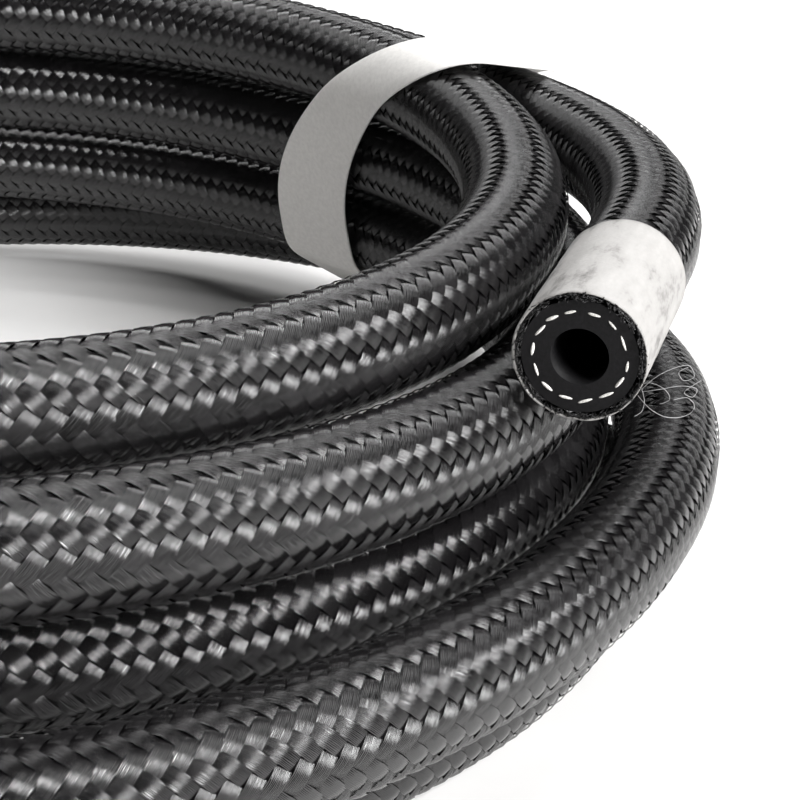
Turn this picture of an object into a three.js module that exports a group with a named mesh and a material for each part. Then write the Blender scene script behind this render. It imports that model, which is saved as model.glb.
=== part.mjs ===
// A coil of braided rubber fuel hose, lying flat, with a taped cut end on top
// and a white band round the far side of the coil. Millimetres, +Z up.
// The origin is on the floor under the middle of the coil, and the taped end points along -Y.
import * as THREE from 'three';

// Section of the hose, from the bore outwards
const boreDiameter = 6.35;
const innerTubeWall = 1.375;
const yarnThickness = 0.4;
const coverWall = 0.8;
const braidThickness = 0.4;
const layerGap = 0.3;
const sectionSides = 10;

// Taped end: the tape's width along the hose, its thickness, and the straight run behind it
const tapeWidth = 26;
const tapeThickness = 0.3;
const tapeGap = 0.15;
const straightRun = 34;
const tapedEndY = -31.5;
const tapedEndOutside = 7.7;
const restGap = 0.25;

// The braid is one piece as far as this under the tape, and one piece from there to the far end
const endSleeveLength = 25;

// Coil: its usual radius, the middle of its turns, and the angle between two points of the route
const coilRadius = 92;
const coilMiddleX = -1.8;
const coilMiddleY = 1.6;
const stationAngle = 60;
const stepAngle = 22.5;
const lastAngle = 1820;

// How far the hose's middle is outside the coil's usual radius, and its height, every 60 degrees
// from the right-hand side of the coil: down from the top turn to the one that lies on the floor
const stations = [
  // first turn, from the taped end round the far side
  [7, 46.7], [8.5, 52.5], [5.5, 58.5], [-2.5, 57], [-8.5, 49.6], [-9, 48.8],
  // second turn
  [-8, 51.3], [-7.5, 51.5], [-4, 46], [1.5, 41.5], [3.5, 41], [0, 37.3],
  // third turn
  [-3, 36.1], [-2.5, 36.5], [-2, 31.5], [-2.5, 26.5], [-3, 24.9], [-1.5, 22],
  // fourth turn
  [0, 21.5], [4, 22], [9, 22], [15, 20.9], [17, 21.2], [13.5, 21.5],
  // fifth turn, which comes down to the floor
  [14, 14.5], [12.5, 8.5], [10, 7.1], [9.5, 7.1], [2.5, 7.1], [5.6, 7.1],
  // hidden end, on the floor under the other turns
  [6, 7.1],
];

// Band round the far side of the coil. Above the height where its lean begins it runs on
// along the turns, back towards the taped end, by this much at its top
const bandAngle = 64.5;
const bandWidth = 17;
const bandThickness = 0.6;
const bandGap = 1.4;
const bandLean = 34;
const bandLeanHeight = 24;
const bandOutlineSides = 20;

const innerTubeRadius = boreDiameter / 2 + innerTubeWall;
const yarnInnerRadius = innerTubeRadius + layerGap;
const yarnOuterRadius = yarnInnerRadius + yarnThickness;
const coverInnerRadius = yarnOuterRadius + layerGap;
const coverOuterRadius = coverInnerRadius + coverWall;
const braidInnerRadius = coverOuterRadius + layerGap;
const braidOuterRadius = braidInnerRadius + braidThickness;
const tapeInnerRadius = braidOuterRadius + tapeGap;
const tapeOuterRadius = tapeInnerRadius + tapeThickness;

// The taped end lies against the third turn where that begins below it, and outside its middle
const [turnBelowOffset, turnBelowHeight] = stations[11];
const tapedEndX = coilRadius + turnBelowOffset + tapedEndOutside;
const tapedEndHeight =
  turnBelowHeight +
  Math.sqrt((braidOuterRadius + tapeOuterRadius + restGap) ** 2 - tapedEndOutside ** 2);

function radians(degrees) {
  return (degrees * Math.PI) / 180;
}

// Where the straight taped end meets the round of the coil
const joinY = tapedEndY + straightRun;
const joinAngle = (Math.atan2(joinY, tapedEndX) * 180) / Math.PI;
const joinRadius = Math.hypot(tapedEndX, joinY);

// Knots of the coil's route: angle, radius and height
const knots = [
  [joinAngle, joinRadius, tapedEndHeight],
  ...stations.map(([offset, height], i) => [
    Math.min((i + 1) * stationAngle, lastAngle), coilRadius + offset, height,
  ]),
];

// Slope of one value at a knot: the parabola through it and its neighbours
function slopeAt(k, value) {
  const last = knots.length - 1;
  const chord = (i) => (knots[i + 1][value] - knots[i][value]) / (knots[i + 1][0] - knots[i][0]);
  if (k === 0) {
    // the straight end is level, and its distance from the middle grows as it runs on
    return value === 1 ? radians(1) * joinRadius * Math.tan(radians(joinAngle)) : 0;
  }
  if (k === last) {
    return 0;
  }
  const before = knots[k][0] - knots[k - 1][0];
  const after = knots[k + 1][0] - knots[k][0];
  return (chord(k - 1) * after + chord(k) * before) / (before + after);
}

// Smooth value between two knots
function valueAt(angle, value) {
  let k = knots.length - 2;
  while (k > 0 && knots[k][0] > angle) {
    k -= 1;
  }
  const span = knots[k + 1][0] - knots[k][0];
  const t = (angle - knots[k][0]) / span;
  return (
    (2 * t ** 3 - 3 * t ** 2 + 1) * knots[k][value] +
    (t ** 3 - 2 * t ** 2 + t) * span * slopeAt(k, value) +
    (3 * t ** 2 - 2 * t ** 3) * knots[k + 1][value] +
    (t ** 3 - t ** 2) * span * slopeAt(k + 1, value)
  );
}

// Point of the coil's route at an angle
function coilPoint(angle) {
  const radius = valueAt(angle, 1);
  return new THREE.Vector3(
    radius * Math.cos(radians(angle)) + coilMiddleX,
    radius * Math.sin(radians(angle)) + coilMiddleY,
    valueAt(angle, 2),
  );
}

// Point of the straight taped end, this far behind its cut face
function endPoint(distance) {
  return new THREE.Vector3(
    tapedEndX + coilMiddleX,
    tapedEndY + coilMiddleY + distance,
    tapedEndHeight,
  );
}

// Route of the whole hose: its cut face, the straight end, and then every turn
const routePoints = [endPoint(0), coilPoint(joinAngle)];
const routeTangents = [new THREE.Vector3(0, 1, 0), new THREE.Vector3(0, 1, 0)];
for (let angle = stepAngle; angle < lastAngle; angle += stepAngle) {
  routePoints.push(coilPoint(angle));
  routeTangents.push(coilPoint(angle + 1).sub(coilPoint(angle - 1)).normalize());
}
routePoints.push(coilPoint(lastAngle));
routeTangents.push(
  new THREE.Vector3(-Math.sin(radians(lastAngle)), Math.cos(radians(lastAngle)), 0),
);

// Route whose sections stand upright, so that a flat of the section always faces the floor
class HoseRoute extends THREE.Curve {
  constructor(points) {
    super();
    this.points = points;
  }

  getUtoTmapping(u) {
    return u;
  }

  getPoint(t, target = new THREE.Vector3()) {
    return target.copy(this.points[Math.round(t * (this.points.length - 1))]);
  }

  computeFrenetFrames() {
    const up = new THREE.Vector3(0, 0, 1);
    const normals = routeTangents.map((tangent) => up.clone().cross(tangent).normalize());
    const binormals = routeTangents.map((tangent, i) => tangent.clone().cross(normals[i]));
    return { tangents: routeTangents, normals, binormals };
  }
}

// Outline of a section, with a flat at the bottom
function sectionPoints(radius) {
  const points = [];
  for (let i = 0; i < sectionSides; i += 1) {
    const angle = (i / sectionSides) * 2 * Math.PI - Math.PI / 2 + Math.PI / sectionSides;
    points.push(new THREE.Vector2(radius * Math.cos(angle), radius * Math.sin(angle)));
  }
  return points;
}

function ringShape(innerRadius, outerRadius) {
  const shape = new THREE.Shape(sectionPoints(outerRadius));
  shape.holes.push(new THREE.Path(sectionPoints(innerRadius).reverse()));
  return shape;
}

function material(color, roughness) {
  return new THREE.MeshStandardMaterial({ color, roughness, metalness: 0 });
}

function addMesh(group, name, geometry, surface) {
  const mesh = new THREE.Mesh(geometry, surface);
  mesh.name = name;
  group.add(mesh);
  return mesh;
}

// One layer of the hose's wall, along the route from this far behind the cut face
function hoseLayer(innerRadius, outerRadius, start = 0) {
  const points = [endPoint(start), ...routePoints.slice(1)];
  return new THREE.ExtrudeGeometry(ringShape(innerRadius, outerRadius), {
    steps: points.length - 1,
    extrudePath: new HoseRoute(points),
  });
}

// Straight ring round the cut end, this long from the cut face
function endRing(innerRadius, outerRadius, length) {
  const geometry = new THREE.ExtrudeGeometry(ringShape(innerRadius, outerRadius), {
    depth: length,
    bevelEnabled: false,
  });
  geometry.rotateX(Math.PI / 2);
  const { x, y, z } = endPoint(length);
  geometry.translate(x, y, z);
  return geometry;
}

// Corners of the smallest outline round a set of points, anticlockwise
function hullOf(points) {
  const sorted = [...points].sort((a, b) => a.x - b.x || a.y - b.y);
  const turn = (o, a, b) => (a.x - o.x) * (b.y - o.y) - (a.y - o.y) * (b.x - o.x);
  const half = (list) => {
    const kept = [];
    for (const point of list) {
      while (kept.length > 1 && turn(kept[kept.length - 2], kept[kept.length - 1], point) <= 0) {
        kept.pop();
      }
      kept.push(point);
    }
    kept.pop();
    return kept;
  };
  return [...half(sorted), ...half(sorted.reverse())];
}

// Angle of the band's middle at a height
function bandAngleAt(height) {
  const top = Math.max(...bandTurns.map((turn) => turn.height)) + braidOuterRadius;
  const rise = Math.max(0, height - bandLeanHeight) / (top - bandLeanHeight);
  return bandAngle - ((bandLean * rise ** 2) / bandTurns[0].radius) * (180 / Math.PI);
}

// Radius and height of every turn where the band passes
const bandTurns = [];
for (let angle = bandAngle - stepAngle; angle < lastAngle; angle += 360) {
  for (const side of [-stepAngle / 2, 0, stepAngle / 2, stepAngle, stepAngle * 1.5]) {
    if (angle + side < lastAngle) {
      bandTurns.push({ radius: valueAt(angle + side, 1), height: valueAt(angle + side, 2) });
    }
  }
}

// Outline round all the turns where the band passes, this far out from their surface:
// radius across and height upwards
function bundleOutline(clearance) {
  const reach = braidOuterRadius + clearance;
  const points = [];
  for (const turn of bandTurns) {
    for (let i = 0; i < bandOutlineSides; i += 1) {
      const around = (i / bandOutlineSides) * 2 * Math.PI;
      points.push(
        new THREE.Vector2(
          turn.radius + reach * Math.cos(around),
          turn.height + reach * Math.sin(around),
        ),
      );
    }
  }
  return hullOf(points);
}

// Band pulled round the bundle of turns, bent round with the coil and leaning at its top
function coilBand() {
  const shape = new THREE.Shape(bundleOutline(bandGap + bandThickness));
  shape.holes.push(new THREE.Path(bundleOutline(bandGap).reverse()));
  const geometry = new THREE.ExtrudeGeometry(shape, { depth: bandWidth, bevelEnabled: false });
  const place = geometry.attributes.position;
  for (let i = 0; i < place.count; i += 1) {
    const radius = place.getX(i);
    const height = place.getY(i);
    const along = (place.getZ(i) - bandWidth / 2) / bandTurns[0].radius;
    const angle = radians(bandAngleAt(height)) - along;
    place.setXYZ(
      i,
      radius * Math.cos(angle) + coilMiddleX,
      radius * Math.sin(angle) + coilMiddleY,
      height,
    );
  }
  geometry.computeVertexNormals();
  return geometry;
}

const rubber = material(0x1b1a19, 0.75);
const hose = new THREE.Group();
hose.name = 'fuel_hose';
addMesh(hose, 'inner_tube', hoseLayer(boreDiameter / 2, innerTubeRadius), rubber);
addMesh(
  hose, 'reinforcement_yarns', hoseLayer(yarnInnerRadius, yarnOuterRadius), material(0xd8d4cc, 0.9),
);
addMesh(hose, 'rubber_cover', hoseLayer(coverInnerRadius, coverOuterRadius), rubber.clone());
const braid = material(0x141312, 0.4);
addMesh(hose, 'braid_end', endRing(braidInnerRadius, braidOuterRadius, endSleeveLength), braid);
addMesh(
  hose, 'braid_sleeve', hoseLayer(braidInnerRadius, braidOuterRadius, endSleeveLength + layerGap),
  braid.clone(),
);
addMesh(
  hose, 'end_tape', endRing(tapeInnerRadius, tapeOuterRadius, tapeWidth), material(0xe8e6e2, 0.85),
);
addMesh(hose, 'coil_band', coilBand(), material(0xe4e1dc, 0.8));

export default hose;
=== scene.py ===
"""Looks of the fuel hose: a coil of braided rubber hose with a taped cut end and a white band."""
import bpy
import math
import numpy as np
from mathutils import Matrix, Vector


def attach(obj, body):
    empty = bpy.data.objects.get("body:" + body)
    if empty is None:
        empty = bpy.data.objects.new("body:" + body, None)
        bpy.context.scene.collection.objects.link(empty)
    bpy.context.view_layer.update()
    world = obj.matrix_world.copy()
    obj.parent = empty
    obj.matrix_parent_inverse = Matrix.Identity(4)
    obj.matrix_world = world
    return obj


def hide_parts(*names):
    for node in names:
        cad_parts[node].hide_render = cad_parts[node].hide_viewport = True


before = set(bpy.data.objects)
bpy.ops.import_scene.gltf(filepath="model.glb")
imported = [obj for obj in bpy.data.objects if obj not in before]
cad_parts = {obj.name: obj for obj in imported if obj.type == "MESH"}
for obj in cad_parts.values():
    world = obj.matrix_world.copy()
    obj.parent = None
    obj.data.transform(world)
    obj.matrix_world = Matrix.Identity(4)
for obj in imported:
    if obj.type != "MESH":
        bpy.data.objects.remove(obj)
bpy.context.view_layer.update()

MM = 0.001
rng = np.random.default_rng(7)

# Section of the hose. Sizes are in millimetres unless a name says otherwise, and angles in degrees.
BORE_RADIUS = 3.175
RUBBER_RADIUS = 6.35
YARN_RADIUS = 5.05
BRAID_RADIUS = 7.05
TAPE_RADIUS = 7.3

# Route of the hose, as the part's source has it: its taped end, then every 60 degrees how far
# its middle is outside the coil's usual radius, and its height
TAPE_WIDTH = 26
STRAIGHT_RUN = 34
TAPED_END_Y = -31.5
TAPED_END_OUTSIDE = 7.7
END_REST_DISTANCE = 14.8
COIL_RADIUS = 92
COIL_MIDDLE = (-1.8, 1.6)
STATION_ANGLE = 60
LAST_ANGLE = 1820
STATIONS = [
    (7, 46.7), (8.5, 52.5), (5.5, 58.5), (-2.5, 57), (-8.5, 49.6), (-9, 48.8),
    (-8, 51.3), (-7.5, 51.5), (-4, 46), (1.5, 41.5), (3.5, 41), (0, 37.3),
    (-3, 36.1), (-2.5, 36.5), (-2, 31.5), (-2.5, 26.5), (-3, 24.9), (-1.5, 22),
    (0, 21.5), (4, 22), (9, 22), (15, 20.9), (17, 21.2), (13.5, 21.5),
    (14, 14.5), (12.5, 8.5), (10, 7.1), (9.5, 7.1), (2.5, 7.1), (5.6, 7.1),
    (6, 7.1),
]

# The taped end lies on the third turn where that begins, a little outside its middle
END_RESTS_ON = STATIONS[11]
TAPED_END_X = COIL_RADIUS + END_RESTS_ON[0] + TAPED_END_OUTSIDE
TAPED_END_HEIGHT = END_RESTS_ON[1] + math.sqrt(END_REST_DISTANCE**2 - TAPED_END_OUTSIDE**2)

# Band round the far side of the coil: upright up to a height, and above it leaning along the turns
BAND_ANGLE = 64.5
BAND_WIDTH = 17.2
BAND_THICKNESS = 0.4
BAND_LEAN = 34
BAND_LEAN_HEIGHT = 24

# Camera, fitted to the photograph
FRAME_PIXELS = 800
FOCAL_PIXELS = 2000
CAMERA_MM = (130.6, -224.3, 128.8)
CAMERA_DOWN = 23.4
CAMERA_LEFT = 15.0
CAMERA_ROLL = 3.0


def make_camera():
    """Camera at its fitted place, turned down and to the left and rolled a little."""
    down, left, roll = (math.radians(v) for v in (CAMERA_DOWN, CAMERA_LEFT, CAMERA_ROLL))
    forward = Vector((
        -math.sin(left) * math.cos(down), math.cos(left) * math.cos(down), -math.sin(down)
    ))
    right = Vector((math.cos(left), math.sin(left), 0))
    up = right.cross(forward)
    rolled = math.cos(roll) * right + math.sin(roll) * up
    upright = -math.sin(roll) * right + math.cos(roll) * up
    data = bpy.data.cameras.new("camera")
    data.sensor_width = 36
    data.lens = FOCAL_PIXELS * data.sensor_width / FRAME_PIXELS
    data.clip_start = 0.01
    camera = bpy.data.objects.new("camera", data)
    turn = Matrix((rolled, upright, -forward)).transposed().to_4x4()
    camera.matrix_world = Matrix.Translation(Vector(CAMERA_MM) * MM) @ turn
    bpy.context.scene.collection.objects.link(camera)
    bpy.context.scene.camera = camera


make_camera()


# Route of the hose

def knots():
    """Rows of angle, radius and height that the coil passes through after its straight run."""
    join_y = TAPED_END_Y + STRAIGHT_RUN
    angle = math.degrees(math.atan2(join_y, TAPED_END_X))
    rows = [(angle, math.hypot(TAPED_END_X, join_y), TAPED_END_HEIGHT)]
    for i, (outside, height) in enumerate(STATIONS):
        rows.append((min((i + 1) * STATION_ANGLE, LAST_ANGLE), COIL_RADIUS + outside, height))
    return np.array(rows, float)


KNOTS = knots()
RADIUS_COLUMN, HEIGHT_COLUMN = 1, 2


def smooth(angles, column):
    """The coil's radius or height at these angles, on a smooth curve through the knots."""
    x, v = KNOTS[:, 0], KNOTS[:, column]
    h = np.diff(x)
    chord = np.diff(v) / h
    slope = np.zeros(len(v))
    slope[1:-1] = (chord[:-1] * h[1:] + chord[1:] * h[:-1]) / (h[1:] + h[:-1])
    if column == RADIUS_COLUMN:
        slope[0] = math.radians(1) * v[0] * math.tan(math.radians(x[0]))
    k = np.clip(np.searchsorted(x, angles, side="right") - 1, 0, len(h) - 1)
    t = (angles - x[k]) / h[k]
    return (
        (2 * t**3 - 3 * t**2 + 1) * v[k]
        + (t**3 - 2 * t**2 + t) * h[k] * slope[k]
        + (3 * t**2 - 2 * t**3) * v[k + 1]
        + (t**3 - t**2) * h[k] * slope[k + 1]
    )


def route_points():
    """Points along the whole hose from its taped face, about half a millimetre apart."""
    straight_points, coil_points = 69, 6000
    straight_y = np.linspace(TAPED_END_Y, TAPED_END_Y + STRAIGHT_RUN, straight_points + 1)[:-1]
    straight = np.stack([
        np.full(straight_points, TAPED_END_X), straight_y, np.full(straight_points, TAPED_END_HEIGHT)
    ], axis=1)
    angles = np.linspace(KNOTS[0, 0], LAST_ANGLE, coil_points)
    radius, height = smooth(angles, RADIUS_COLUMN), smooth(angles, HEIGHT_COLUMN)
    turn = np.radians(angles)
    coil = np.stack([radius * np.cos(turn), radius * np.sin(turn), height], axis=1)
    points = np.concatenate([straight, coil])
    points[:, :2] += COIL_MIDDLE
    return points


def walked(points):
    """Distance along a row of points to each of them."""
    return np.concatenate([[0], np.cumsum(np.linalg.norm(np.diff(points, axis=0), axis=1))])


ROUTE = route_points()
ALONG = walked(ROUTE)
LENGTH = ALONG[-1]


def frames_at(s):
    """Place and side, up and forward directions of the route at distances s from the taped face."""
    def at(distance):
        return np.stack([np.interp(distance, ALONG, ROUTE[:, i]) for i in range(3)], axis=1)

    half = 1.5
    low, high = np.clip(s - half, 0, LENGTH - 2 * half), np.clip(s + half, 2 * half, LENGTH)
    tangent = at(high) - at(low)
    tangent /= np.linalg.norm(tangent, axis=1)[:, None]
    side = np.cross([0, 0, 1], tangent)
    side /= np.linalg.norm(side, axis=1)[:, None]
    return at(s), side, np.cross(tangent, side), tangent


def on_hose(s, around, radius):
    """Points in metres at a distance along the hose, an angle round it and a radius."""
    shape = np.broadcast_shapes(np.shape(s), np.shape(around), np.shape(radius))
    s, around, radius = (np.broadcast_to(v, shape).ravel() for v in (s, around, radius))
    place, side, up, _ = frames_at(s)
    out = place + radius[:, None] * (np.cos(around)[:, None] * side + np.sin(around)[:, None] * up)
    return (out * MM).reshape(*shape, 3)


def new_mesh(name, vertices, faces, material, uv=None):
    """A smooth mesh from vertices (n, 3) in metres and faces (m, 4), with a UV per corner if given."""
    mesh = bpy.data.meshes.new(name)
    vertices = np.asarray(vertices, dtype=np.float32).reshape(-1, 3)
    faces = np.asarray(faces, dtype=np.int32).reshape(-1, 4)
    mesh.vertices.add(len(vertices))
    mesh.vertices.foreach_set("co", vertices.ravel())
    mesh.loops.add(faces.size)
    mesh.loops.foreach_set("vertex_index", faces.ravel())
    mesh.polygons.add(len(faces))
    mesh.polygons.foreach_set("loop_start", np.arange(0, faces.size, 4, dtype=np.int32))
    mesh.polygons.foreach_set("use_smooth", np.ones(len(faces), bool))
    if uv is not None:
        layer = mesh.uv_layers.new(name="weave")
        layer.data.foreach_set("uv", np.asarray(uv, dtype=np.float32).ravel())
    mesh.update(calc_edges=True)
    mesh.validate()
    mesh.materials.append(material)
    piece = bpy.data.objects.new(name, mesh)
    bpy.context.scene.collection.objects.link(piece)
    return piece


def grid_cells(rows, columns, closed):
    """Corner numbers (n, 4) of the cells between rows of points, where a row may close into a ring."""
    i, j = np.meshgrid(np.arange(rows - 1), np.arange(columns - (not closed)), indexing="ij")
    a, b = i * columns + j, i * columns + (j + 1) % columns
    return np.stack([a, b, b + columns, a + columns], axis=-1).reshape(-1, 4)


def turned_round(count):
    """Angles in radians of so many points round a circle."""
    return np.arange(count) / count * 2 * math.pi


# Materials

def linear(hex_colour):
    """Linear colour from an sRGB hex value."""
    parts = [int(hex_colour[i:i + 2], 16) / 255 for i in (1, 3, 5)]
    return [v / 12.92 if v <= 0.04045 else ((v + 0.055) / 1.055) ** 2.4 for v in parts] + [1]


def new_material(name, roughness):
    material = bpy.data.materials.new(name)
    material.use_nodes = True
    shader = material.node_tree.nodes["Principled BSDF"]
    shader.inputs["Roughness"].default_value = roughness
    return material, material.node_tree, shader


def add(tree, kind, settings=None, links=None):
    """A node with its settings, and with links from other nodes' outputs into its inputs."""
    node = tree.nodes.new(kind)
    for key, value in (settings or {}).items():
        if isinstance(key, int) or key in node.inputs:
            node.inputs[key].default_value = value
        else:
            setattr(node, key, value)
    for key, source in (links or {}).items():
        tree.links.new(source, node.inputs[key])
    return node


def grain_bump(tree, shader, vector, scale, strength):
    """Fine noise that roughens a surface; returns its value, for the colour to follow."""
    grain = add(tree, "ShaderNodeTexNoise", {"Scale": scale, "Detail": 4}, {"Vector": vector})
    bump = add(
        tree, "ShaderNodeBump", {"Strength": strength, "Distance": 0.0001},
        {"Height": grain.outputs["Fac"]},
    )
    tree.links.new(bump.outputs["Normal"], shader.inputs["Normal"])
    return grain.outputs["Fac"]


def ramp(tree, factor, stops):
    """Colour ramp from (place, sRGB hex) stops."""
    node = add(tree, "ShaderNodeValToRGB", links={"Fac": factor})
    elements = node.color_ramp.elements
    while len(elements) < len(stops):
        elements.new(1)
    for element, (place, colour) in zip(elements, stops):
        element.position = place
        element.color = linear(colour)
    return node.outputs["Color"]


def grained(name, roughness, scale, strength, stops, specular=0.5):
    """A material whose bump and colour follow the same fine noise."""
    material, tree, shader = new_material(name, roughness)
    shader.inputs["Specular IOR Level"].default_value = specular
    place = add(tree, "ShaderNodeTexCoord").outputs["Object"]
    grain = grain_bump(tree, shader, place, scale, strength)
    tree.links.new(ramp(tree, grain, stops), shader.inputs["Base Color"])
    return material


FILAMENTS = 11


def braid_material():
    """Woven black nylon: fine filaments along each strand, so that the light streaks across it."""
    material, tree, shader = new_material("woven_black_nylon", 0.36)
    uv = add(tree, "ShaderNodeUVMap", {"uv_map": "weave"}).outputs["UV"]
    parts = add(tree, "ShaderNodeSeparateXYZ", links={"Vector": uv})
    strand = add(tree, "ShaderNodeAttribute", {"attribute_name": "strand"}).outputs["Fac"]
    # filaments side by side across the strand, wandering a little along it
    stretched = add(tree, "ShaderNodeMapping", {"Scale": (0.7, 5, 1)}, {"Vector": uv})
    wander = add(
        tree, "ShaderNodeTexNoise", {"Scale": 1.0, "Detail": 2}, {"Vector": stretched.outputs["Vector"]}
    )
    across = add(
        tree, "ShaderNodeMath", {"operation": "MULTIPLY_ADD", 1: 0.12},
        {0: wander.outputs["Fac"], 2: parts.outputs["Y"]},
    )
    turns = add(
        tree, "ShaderNodeMath", {"operation": "MULTIPLY", 1: FILAMENTS * 2 * math.pi},
        {0: across.outputs["Value"]},
    )
    ridge = add(tree, "ShaderNodeMath", {"operation": "SINE"}, {0: turns.outputs["Value"]})
    bump = add(
        tree, "ShaderNodeBump", {"Strength": 0.6, "Distance": 0.00003},
        {"Height": ridge.outputs["Value"]},
    )
    tree.links.new(bump.outputs["Normal"], shader.inputs["Normal"])
    # every strand has its own depth of black, with painted shade in the grooves between filaments
    strand_tone_and_groove_shade = add(
        tree, "ShaderNodeMath", {"operation": "MULTIPLY_ADD", 1: 0.18},
        {0: ridge.outputs["Value"], 2: strand},
    )
    colour = ramp(tree, strand_tone_and_groove_shade.outputs["Value"], [(0.0, "#0e0d0e"), (0.5, "#151415"), (1.0, "#1e1d1e")])
    tree.links.new(colour, shader.inputs["Base Color"])
    sheen = add(tree, "ShaderNodeMapRange", {"To Min": 0.21, "To Max": 0.27}, {"Value": strand})
    tree.links.new(sheen.outputs["Result"], shader.inputs["Roughness"])
    # the sheen is narrow along the filaments and wide across them
    tangent = add(tree, "ShaderNodeTangent", {"direction_type": "UV_MAP", "uv_map": "weave"})
    tree.links.new(tangent.outputs["Tangent"], shader.inputs["Tangent"])
    shader.inputs["Specular IOR Level"].default_value = 0.8
    shader.inputs["Anisotropic"].default_value = 0.8
    shader.inputs["Anisotropic Rotation"].default_value = 0.25
    return material


def tape_material():
    """White cloth tape: fine weave, faint creases, and grey scuffs where it was handled."""
    material, tree, shader = new_material("white_cloth_tape", 0.72)
    place = add(tree, "ShaderNodeTexCoord").outputs["Object"]
    grain = grain_bump(tree, shader, place, 2200, 0.5)
    scuffed = add(tree, "ShaderNodeMapping", {"Scale": (260, 90, 260)}, {"Vector": place})
    scuff = add(
        tree, "ShaderNodeTexNoise", {"Scale": 1.0, "Detail": 5, "Roughness": 0.65},
        {"Vector": scuffed.outputs["Vector"]},
    )
    both = add(
        tree, "ShaderNodeMath", {"operation": "MULTIPLY_ADD", 1: 0.12},
        {0: grain, 2: scuff.outputs["Fac"]},
    )
    colour = ramp(
        tree, both.outputs["Value"],
        [(0.3, "#434241"), (0.42, "#858381"), (0.52, "#a3a19f"), (0.8, "#b5b3b1")],
    )
    tree.links.new(colour, shader.inputs["Base Color"])
    return material


# moulded black rubber: matt, dark grey where the blade cut it
RUBBER = grained(
    "moulded_black_rubber", 0.62, 2600, 0.35, [(0.3, "#0b0b0c"), (0.7, "#151416")], specular=0.2
)
BRAID = braid_material()
# nylon cut off at the end: black stubs with a soft shine
CUT_NYLON = grained("cut_black_nylon", 0.45, 4000, 0.2, [(0.3, "#151415"), (0.7, "#232223")])
# nylon that came loose: black, but painted pale grey as a painted glint for the light its thin
# filaments catch
LOOSE_NYLON_PAINTED_GLINT = grained("loose_nylon_painted_glint", 0.45, 4000, 0.2, [(0.3, "#8f8e8f"), (0.7, "#b4b3b4")])
TAPE = tape_material()
# woven strap: matt and white, with a faint grain
STRAP = grained("matt_white_strap", 0.8, 1500, 0.25, [(0.3, "#e2e0dd"), (0.7, "#eeece9")])
# reinforcement yarn, cut short: off-white, fluffy and matt
YARN = grained("off_white_yarn", 0.9, 5000, 0.6, [(0.3, "#c4c1bb"), (0.65, "#f6f4f0")])
# table top: pale, plain and matt
TABLE = grained("pale_table", 0.9, 60, 0.05, [(0.3, "#f1f0ef"), (0.7, "#f6f5f4")])


def fit(piece, slot, *nodes):
    """The piece rides the part and stands in for these nodes; slot is not used."""
    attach(piece, "root")
    if nodes:
        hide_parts(*nodes)
    return piece


# Rubber hose with its bore

def rubber_hose():
    """Rubber tube along the whole route, with its bore and both cut faces."""
    rings, sides = 760, 32
    s, around = np.linspace(0, LENGTH, rings), turned_round(sides)
    outer, inner = (
        on_hose(s[:, None], around[None, :], radius).reshape(-1, 3)
        for radius in (RUBBER_RADIUS, BORE_RADIUS)
    )
    skin = grid_cells(rings, sides, closed=True)
    into = rings * sides
    bore = skin[:, ::-1] + into
    near = np.arange(sides)
    near_next = (near + 1) % sides
    far, far_next = near + into - sides, near_next + into - sides
    near_cap = np.stack([near, into + near, into + near_next, near_next], axis=-1)
    far_cap = np.stack([far, far_next, into + far_next, into + far], axis=-1)
    piece = new_mesh(
        "rubber_hose", np.concatenate([outer, inner]),
        np.concatenate([skin, bore, near_cap, far_cap]), RUBBER,
    )
    round_faces = np.ones(2 * len(skin) + 2 * sides, bool)
    round_faces[-2 * sides:] = False
    piece.data.polygons.foreach_set("use_smooth", round_faces)
    return fit(piece, "rubber", "inner_tube", "rubber_cover")


# Braid: flat strands of filaments that pass over two and under two. Each stretch that lies on top
# is a float, one column wide round the hose, and heights are above or below the strands' middle.

CARRIERS = 16
LAY = 38.4
STRAND_FILL = 1.06
CROWN = 0.34
DOME = 0.10
STRAND_MIDDLE_RADIUS = 6.72
FLOAT_HALF = 0.86
FLOATS_ALONG, FLOATS_ACROSS = 6, 3
BRAID_PIECES = 6
# how much the strands wander in place, and differ in width
STRAND_WANDER, WIDTH_SPREAD = 0.02, 0.025
END_MARGIN = 0.02


def float_rows():
    """For every float, its middle along the hose, its angle round it and the way its strand winds."""
    pitch = LAY / CARRIERS
    middles = np.arange(0.5, LENGTH / pitch) * pitch
    rows = []
    for j in range(CARRIERS):
        way = 1 if j % 2 == 0 else -1
        # the two families stand half a pitch apart, so that each strand passes over two and under two
        shifted = middles - (0 if way > 0 else pitch / 2)
        angle = (j + 0.5) * 2 * math.pi / CARRIERS
        rows.append(np.stack(
            [shifted, np.full(len(middles), angle), np.full(len(middles), way)], axis=1
        ))
    return np.concatenate(rows)


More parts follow.
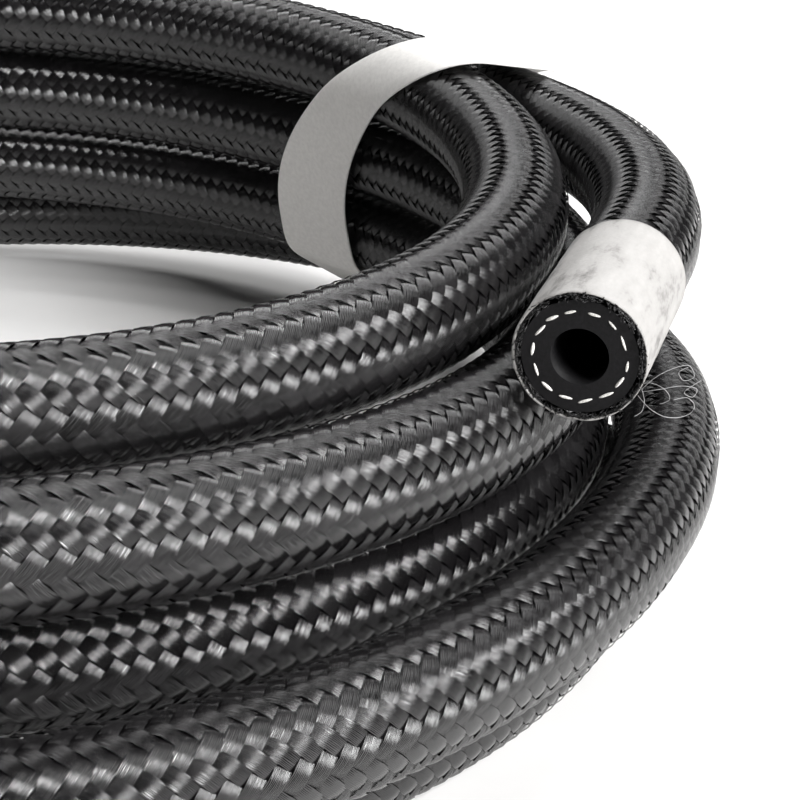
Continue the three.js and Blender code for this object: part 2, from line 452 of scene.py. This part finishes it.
def braid_floats():
    """Every float as a small domed patch, in pieces of equal length along the hose."""
    column = 2 * math.pi / CARRIERS
    pitch = LAY / CARRIERS
    rows = float_rows()
    along, across = np.meshgrid(
        np.linspace(-FLOAT_HALF, FLOAT_HALF, FLOATS_ALONG + 1),
        np.linspace(-0.5, 0.5, FLOATS_ACROSS + 1), indexing="ij",
    )
    cell = grid_cells(*along.shape, closed=False)[:, [0, 3, 2, 1]]
    # along the strand in strand widths, and across it from 0 to 1
    corner_uv = np.stack([along * 2.0, across + 0.5], axis=-1).reshape(-1, 2)[cell]
    pieces = []
    for part in range(BRAID_PIECES):
        in_part = (rows[:, 0] / LENGTH * BRAID_PIECES).astype(int).clip(0, BRAID_PIECES - 1) == part
        own = rows[in_part]
        other_way = own[:, 2] < 0
        middle, angle, way = (own[:, k][:, None, None] for k in range(3))
        jitter = rng.normal(0, STRAND_WANDER, (2, len(own)))[:, :, None, None]
        width = STRAND_FILL * (1 + rng.normal(0, WIDTH_SPREAD, len(own)))[:, None, None]
        # the ends are cut along the other family's strands, under which they pass
        reach = along - way * across / 2
        s = middle + pitch * (way * reach + across * width + jitter[0])
        height = CROWN * np.cos(math.pi * along) - DOME * (2 * across) ** 2 + 0.4 * jitter[1]
        points = on_hose(
            np.clip(s, END_MARGIN, LENGTH - END_MARGIN), angle + reach * column,
            STRAND_MIDDLE_RADIUS + height,
        )
        faces = cell[None] + (np.arange(len(own)) * along.size)[:, None, None]
        faces[other_way] = faces[other_way][:, :, ::-1]
        uv = np.broadcast_to(corner_uv[None], (len(own), *corner_uv.shape)).copy()
        uv[other_way] = uv[other_way][:, :, ::-1]
        uv[..., 0] += rng.random((len(own), 1, 1)) * 40
        piece = new_mesh(f"braid_turn_{part + 1}", points, faces, BRAID, uv)
        shade = piece.data.attributes.new("strand", "FLOAT", "FACE")
        shade.data.foreach_set("value", np.repeat(rng.random(len(own)), len(cell)).astype(np.float32))
        pieces.append(fit(piece, "braid"))
    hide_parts("braid_sleeve", "braid_end")
    return pieces


def thin_tubes(name, paths, radii, material):
    """One mesh of thin four-sided tubes along paths of points in millimetres."""
    sides = 4
    around = turned_round(sides)
    vertices, faces = [], []
    start = 0
    for path, radius in zip(paths, radii):
        tangent = np.gradient(path, axis=0)
        tangent /= np.linalg.norm(tangent, axis=1)[:, None]
        away = np.where(np.abs(tangent[:, 2:3]) > 0.9, [[1.0, 0, 0]], [[0, 0, 1.0]])
        side = np.cross(away, tangent)
        side /= np.linalg.norm(side, axis=1)[:, None]
        up = np.cross(tangent, side)
        ring = path[:, None] + radius * (
            np.cos(around)[None, :, None] * side[:, None]
            + np.sin(around)[None, :, None] * up[:, None]
        )
        vertices.append(ring.reshape(-1, 3) * MM)
        faces.append(start + grid_cells(len(path), sides, closed=True))
        last_ring = (len(path) - 1) * sides
        faces.append(start + np.array([[0, 3, 2, 1], [0, 1, 2, 3]]) + [[0], [last_ring]])
        start += len(path) * sides
    return new_mesh(name, np.concatenate(vertices), np.concatenate(faces), material)


# Cut ends: the taped one has its face at TAPED_FACE and looks along -Y

TAPED_FACE = ROUTE[0]


def on_face(angle, radius, out):
    """Points in millimetres round the cut end's axis, this far out in front of its face."""
    angle, radius, out = np.broadcast_arrays(angle, radius, out)
    return TAPED_FACE + np.stack([radius * np.cos(angle), -out, radius * np.sin(angle)], axis=-1)


YARN_COUNT = 14
YARN_HALF_LENGTH, YARN_HALF_WIDTH, YARN_HALF_DEPTH = 0.76, 0.16, 0.16


def yarn_ends(name, middle, across, up):
    """Cut ends of the reinforcement yarns: flat tufts that stand a hair out of the rubber."""
    along = across.cross(up)
    parts = []
    for k in range(YARN_COUNT):
        angle = (k + rng.normal(0, 0.07)) / YARN_COUNT * 2 * math.pi
        out = math.cos(angle) * across + math.sin(angle) * up
        round_way = -math.sin(angle) * across + math.cos(angle) * up
        bpy.ops.mesh.primitive_uv_sphere_add(segments=12, ring_count=8, radius=1, location=(0, 0, 0))
        tuft = bpy.context.object
        sizes = (
            YARN_HALF_LENGTH + rng.normal(0, 0.09), YARN_HALF_WIDTH + rng.normal(0, 0.025),
            YARN_HALF_DEPTH + 0.05 * rng.random(),
        )
        tilt = rng.normal(0, 0.12)
        first = math.cos(tilt) * round_way + math.sin(tilt) * out
        second = math.cos(tilt) * out - math.sin(tilt) * round_way
        turn = Matrix((first * sizes[0], second * sizes[1], along * sizes[2])).transposed().to_4x4()
        place = Vector(middle) + out * (YARN_RADIUS + rng.normal(0, 0.05))
        tuft.data.transform(Matrix.Scale(MM, 4) @ Matrix.Translation(place) @ turn)
        parts.append(tuft)
    bpy.ops.object.select_all(action="DESELECT")
    for tuft in parts:
        tuft.select_set(True)
    bpy.context.view_layer.objects.active = parts[0]
    bpy.ops.object.join()
    piece = bpy.context.object
    piece.name = name
    piece.data.materials.append(YARN)
    bpy.ops.object.shade_smooth()
    return piece


FRAYED_ENDS = 420
FRAY_MOST_AT = math.radians(50)
# how far inside the rubber's face a frayed end starts, and how far out from the axis it may reach
FRAY_ROOT = 0.6
FRAY_FROM_RADIUS, FRAY_DEPTH, FRAY_MOST_RADIUS = 6.45, 0.62, 7.75


def frayed_braid():
    """Ends of the braid's strands, cut off ragged between the rubber and the tape."""
    paths, radii = [], []
    for _ in range(FRAYED_ENDS):
        angle = rng.random() * 2 * math.pi
        # the braid stands out most at the upper right
        lean = 0.5 + 0.5 * math.cos(angle - FRAY_MOST_AT)
        length = abs(rng.normal(0.35, 0.22)) * (0.5 + 1.2 * lean)
        start = FRAY_FROM_RADIUS + FRAY_DEPTH * rng.random()
        steps = np.linspace(0, 1, 5)
        sweep = rng.normal(0, 0.10) * steps
        rise = start + rng.normal(0.02 + 0.18 * lean, 0.16) * steps**1.5
        paths.append(on_face(
            angle + sweep, np.clip(rise, RUBBER_RADIUS, FRAY_MOST_RADIUS),
            -FRAY_ROOT + steps * (FRAY_ROOT + length),
        ))
        radii.append(0.045 + 0.04 * rng.random())
    return fit(thin_tubes("frayed_braid", paths, radii, CUT_NYLON), "braid")


TAPE_OVERLAP, OVERLAP_FROM, OVERLAP_SWEEP = 0.12, 2.3, 1.2
CREASES_ALONG = (4.5, 9.0, 15.5, 21.0)


def end_tape():
    """Cloth tape wound on the braid, with faint wrinkles, an overlap and an uneven edge."""
    sides, rings = 96, 40
    around = turned_round(sides)
    A, L = np.meshgrid(around, np.linspace(0, TAPE_WIDTH, rings))
    wrinkle = 0.03 * np.sin(3 * A + 0.5 * L) * np.sin(0.9 * L + 2 * np.cos(A))
    creases = sum(
        0.035 * np.exp(-(((L - c - 1.2 * np.sin(A + c)) / 0.35) ** 2)) for c in CREASES_ALONG
    )
    # the tape's last turn ends in a step, and fades into the turn under it
    past_step = np.angle(np.exp(1j * (A - OVERLAP_FROM)))
    overlap = TAPE_OVERLAP / (1 + np.exp(-past_step * 40)) * (past_step < OVERLAP_SWEEP)
    outer = TAPE_RADIUS - 0.02 + wrinkle + creases + overlap
    edge = 0.12 * np.sin(5 * around + 1) + 0.07 * np.sin(13 * around)
    out = -L + np.where(L == 0, edge[None, :] * 0.8, 0)
    surfaces = [on_face(A, radius, out).reshape(-1, 3) for radius in (outer, TAPE_RADIUS - 0.2)]
    skin = grid_cells(rings, sides, closed=True)[:, [0, 3, 2, 1]]
    into = rings * sides
    near, near_next = np.arange(sides), (np.arange(sides) + 1) % sides
    far, far_next = near + (rings - 1) * sides, near_next + (rings - 1) * sides
    faces = np.concatenate([
        skin, skin[:, ::-1] + into,
        np.stack([near, near_next, into + near_next, into + near], axis=-1),
        np.stack([far, into + far, into + far_next, far_next], axis=-1),
    ])
    return fit(
        new_mesh("tape_wrap", np.concatenate(surfaces) * MM, faces, TAPE), "tape", "end_tape"
    )


# Places that the loose filaments curl through beside the taped end: to the right of its axis,
# out in front of its face, and up
CURLS = [
    [(6.9, 0.0, -2.6), (8.4, 0.8, -0.6), (10.2, 0.6, 0.6), (11.6, 0.2, 0.9), (12.2, 0.0, -0.3),
     (11.2, 0.0, -0.9), (10.6, 0.2, 0.0), (11.5, 0.4, 0.8)],
    [(7.0, 0.2, -2.8), (8.8, 0.8, -2.0), (11.0, 0.4, -1.4), (12.6, 0.0, -1.6), (12.3, 0.0, -2.6),
     (11.4, 0.2, -2.2), (12.0, 0.2, -1.4), (13.0, 0.0, -0.6)],
    [(6.6, 0.4, -3.2), (8.2, 1.2, -4.2), (10.0, 0.8, -5.0), (11.8, -0.2, -4.9), (12.6, 0.0, -3.7),
     (11.8, 0.2, -2.7), (10.4, 0.6, -3.0)],
    [(6.9, 0.2, -2.4), (7.4, 0.8, -3.6), (7.3, 1.2, -4.6), (6.6, 1.4, -5.2)],
    [(7.0, 0.0, -1.9), (8.0, 0.6, -1.5), (9.4, 0.8, -1.9), (10.0, 0.6, -3.0), (9.0, 0.4, -3.8)],
]
LOOSE_RADIUS = 0.035


def curl(places, seed):
    """A smooth path through places, that wobbles a little."""
    places = np.array(places, float)
    t = np.linspace(0, len(places) - 1, 8 * (len(places) - 1) + 1)
    k = np.clip(t.astype(int), 0, len(places) - 2)
    f = (t - k)[:, None]
    before = places[np.clip(k - 1, 0, None)]
    after = places[np.clip(k + 2, None, len(places) - 1)]
    p, q = places[k], places[k + 1]
    path = 0.5 * (
        2 * p + (q - before) * f + (2 * before - 5 * p + 4 * q - after) * f**2
        + (3 * p - before - 3 * q + after) * f**3
    )
    return path + np.random.default_rng(seed).normal(0, 0.01, path.shape)


def loose_filaments():
    """Long filaments that came out of the braid and curl beside the taped end."""
    x, y, z = TAPED_FACE
    paths = [
        curl([(x + right, y - out, z + up) for right, out, up in places], seed)
        for seed, places in enumerate(CURLS)
    ]
    radii = [LOOSE_RADIUS] * len(paths)
    return fit(thin_tubes("loose_filaments", paths, radii, LOOSE_NYLON_PAINTED_GLINT), "braid")


# Band round all the turns

def outline_round(turns, reach):
    """Corners of the tightest outline round the turns, as (radius, height), anticlockwise."""
    spots = [
        (radius + reach * math.cos(a), height + reach * math.sin(a))
        for radius, height in turns for a in turned_round(48)
    ]

    def half(row):
        kept = []
        for spot in row:
            while len(kept) > 1:
                (ax, ay), (bx, by) = kept[-2], kept[-1]
                if (bx - ax) * (spot[1] - ay) - (by - ay) * (spot[0] - ax) > 0:
                    break
                kept.pop()
            kept.append(spot)
        return kept[:-1]

    spots.sort()
    return half(spots) + half(spots[::-1])


# the strap follows the turns over this much of the coil, on the side to which it leans
BAND_FOLLOWS_FROM, BAND_FOLLOWS, BAND_FOLLOWS_STEP = -30, 45, 6
BAND_GAP = 0.25
BAND_POINTS = 120


def band_loop():
    """Strap's course round the turns' section, as rows of radius and height."""
    angles = np.arange(BAND_ANGLE + BAND_FOLLOWS_FROM, LAST_ANGLE, 360)
    turns = [
        (float(smooth(a + d, RADIUS_COLUMN)), float(smooth(a + d, HEIGHT_COLUMN)))
        for a in angles for d in range(0, BAND_FOLLOWS, BAND_FOLLOWS_STEP) if a + d < LAST_ANGLE
    ]
    outline = np.array(outline_round(turns, BRAID_RADIUS + BAND_GAP))
    outline = np.concatenate([outline, outline[:1]])
    so_far = walked(outline)
    spots = np.linspace(0, so_far[-1], BAND_POINTS + 1)[:-1]
    loop = np.stack([np.interp(spots, so_far, outline[:, k]) for k in range(2)], axis=1)
    for _ in range(3):
        loop = (np.roll(loop, 1, axis=0) + 2 * loop + np.roll(loop, -1, axis=0)) / 4
    return loop


def coil_band():
    """Strap pulled round all the turns: upright on the inside, leaning over at the top."""
    loop = band_loop()
    ahead = np.roll(loop, -1, axis=0) - np.roll(loop, 1, axis=0)
    out = np.stack([ahead[:, 1], -ahead[:, 0]], axis=1)
    out /= np.linalg.norm(out, axis=1)[:, None]
    top = loop[:, 1].max()
    rise = np.maximum(0, loop[:, 1] - BAND_LEAN_HEIGHT) / (top - BAND_LEAN_HEIGHT)
    # over the top the strap runs back, so that its outer side hides behind the upper turn
    inner, outer = loop[:, 0].min(), loop[:, 0].max()
    inward = np.clip((outer - loop[:, 0]) / (outer - inner), 0, 1)
    lean = BAND_LEAN * rise**2 * np.minimum(1, 0.3 + 2.4 * inward)
    # section of the strap: across its width, and how far it stands out there
    half = BAND_WIDTH / 2
    rounded = 0.3
    section = [
        (-half, 0.10), (-half, 0.30), (-half + rounded, BAND_THICKNESS),
        (-half / 2, BAND_THICKNESS + 0.03), (0, BAND_THICKNESS + 0.05),
        (half / 2, BAND_THICKNESS + 0.03), (half - rounded, BAND_THICKNESS),
        (half, 0.30), (half, 0.10), (0, 0.05),
    ]
    rows = []
    for width, thick in section:
        radius, height = (loop + out * thick).T
        angle = np.radians(BAND_ANGLE) - (lean + width) / COIL_RADIUS
        rows.append(np.stack([
            radius * np.cos(angle) + COIL_MIDDLE[0], radius * np.sin(angle) + COIL_MIDDLE[1], height
        ], axis=1))
    vertices = np.stack(rows, axis=1) * MM
    # the last section joins the first
    faces = grid_cells(BAND_POINTS + 1, len(section), closed=True) % (BAND_POINTS * len(section))
    return fit(new_mesh("band_strap", vertices, faces, STRAP), "band", "coil_band")


hose = rubber_hose()
braid = braid_floats()
near_yarns = yarn_ends("yarn_ends", TAPED_FACE, Vector((1, 0, 0)), Vector((0, 0, 1)))
fit(near_yarns, "yarn", "reinforcement_yarns")
last_place, last_side, last_up, _ = (Vector(v[0]) for v in frames_at(np.array([LENGTH])))
fit(yarn_ends("far_yarn_ends", last_place, last_side, last_up), "yarn")
frayed_braid()
end_tape()
loose_filaments()
coil_band()


# Floor and lights

def add_area(name, place, aim, width, height, power):
    """A softbox at a place in metres, turned to face a point."""
    bpy.ops.object.light_add(type="AREA", location=place)
    lamp = bpy.context.object
    lamp.name = name
    lamp.data.shape = "RECTANGLE"
    lamp.data.size = width
    lamp.data.size_y = height
    lamp.data.energy = power
    lamp.rotation_euler = (Vector(aim) - Vector(place)).to_track_quat("-Z", "Y").to_euler()


bpy.ops.object.select_all(action="DESELECT")
bpy.ops.mesh.primitive_plane_add(size=8, location=(0, 2, 0))
floor = bpy.context.object
floor.name = "floor"
floor.data.materials.append(TABLE)

# a softbox on the right makes the two bright rows on every turn, a long one behind lights the table
# and the hose's upper edges, and one overhead keeps the table white
add_area("softbox_right", (0.74, -0.34, 0.57), (0.06, -0.05, 0.04), 0.42, 0.42, 15)
add_area("softbox_back", (-0.1, 1.6, 1.3), (0, 0, 0.03), 2.0, 0.5, 18)
add_area("overhead", (-0.4, 0.3, 1.5), (0, 0, 0), 1.4, 1.4, 20)
world = bpy.data.worlds.new("world")
world.use_nodes = True
world.node_tree.nodes["Background"].inputs["Color"].default_value = (1, 1, 1, 1)
world.node_tree.nodes["Background"].inputs["Strength"].default_value = 0.05
bpy.context.scene.world = world
bpy.context.scene.view_settings.view_transform = "Standard"
